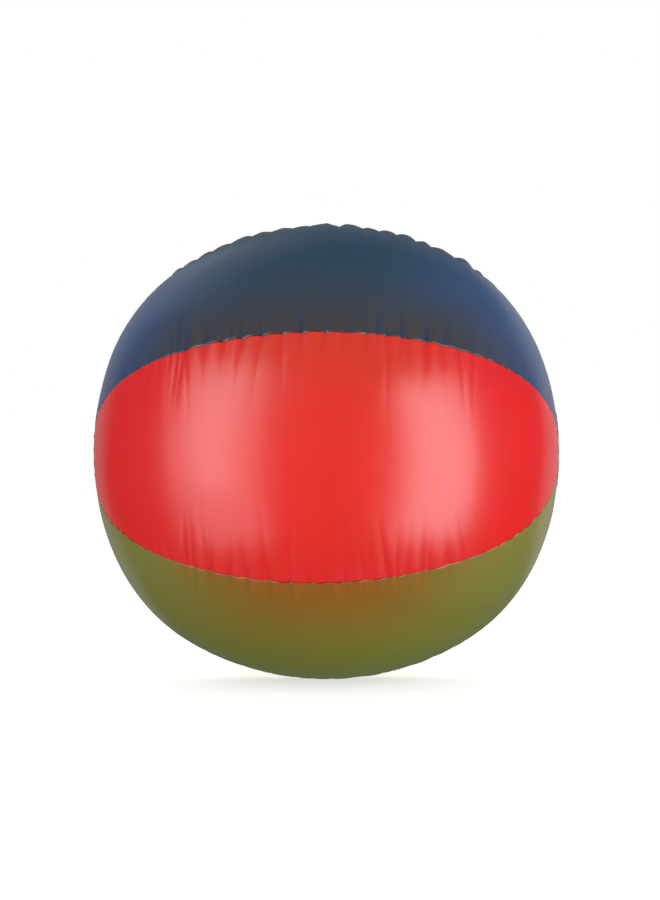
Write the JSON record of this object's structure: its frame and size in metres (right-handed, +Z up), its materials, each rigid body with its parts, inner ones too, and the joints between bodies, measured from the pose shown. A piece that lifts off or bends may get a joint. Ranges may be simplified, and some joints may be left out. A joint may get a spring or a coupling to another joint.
{
  "type": "inflatable beach ball",
  "caption": "Inflated ball of welded coloured film gores with a round disc over each pole and a push-in air valve with a tethered stopper.",
  "frame": {"origin": "centre of the inflated ball", "axes": "+X runs through both poles towards the right end disc, -Y is the front through the middle of the red panel, +Z is up"},
  "size_m": [0.4106, 0.4, 0.4],
  "materials": {
    "vinyl_red": "glossy translucent red film",
    "vinyl_blue": "glossy translucent dark blue film",
    "vinyl_orange": "glossy translucent orange film",
    "vinyl_yellow": "glossy translucent yellow film",
    "vinyl_white": "glossy milky white film",
    "vinyl_green": "glossy translucent olive green film",
    "disc_white": "milky white film patch with a welded rim",
    "valve_clear": "milky clear soft moulded vinyl, satin"
  },
  "bodies": {
    "ball": {"panel_front": "vinyl_red", "panel_top_front": "vinyl_blue", "panel_top_back": "vinyl_orange", "panel_back": "vinyl_yellow", "panel_bottom_back": "vinyl_white", "panel_bottom_front": "vinyl_green", "end_disc_right": "disc_white", "end_disc_left": "disc_white", "inner_disc_right": "disc_white", "inner_disc_left": "disc_white", "valve_flange": "valve_clear", "valve_skirt": "valve_clear"},
    "valve_stem": {"valve_stem": "valve_clear", "stopper_strap": "valve_clear"},
    "stopper": {"stopper": "valve_clear"},
    "check_flap": {"check_flap": "valve_clear"}
  },
  "joints": [
    {"name": "valve_slide", "type": "slide", "parent": "ball", "child": "valve_stem", "axis": [-0.5, 0.866, 0], "range_m": [0, 0.014], "deforming": ["valve_skirt"]},
    {"name": "stopper_hinge", "type": "hinge", "parent": "valve_stem", "child": "stopper", "pos_m": [-0.1187, 0.16705, -0.0092], "axis": [-0.866, -0.5, 0], "range_deg": [0, 115], "deforming": ["stopper_strap"]},
    {"name": "flap_hinge", "type": "hinge", "parent": "valve_stem", "child": "check_flap", "pos_m": [-0.1105, 0.15284, -0.005], "axis": [0.866, 0.5, 0], "range_deg": [0, 40], "stiffness_Nm_per_rad": 0.001}
  ]
}
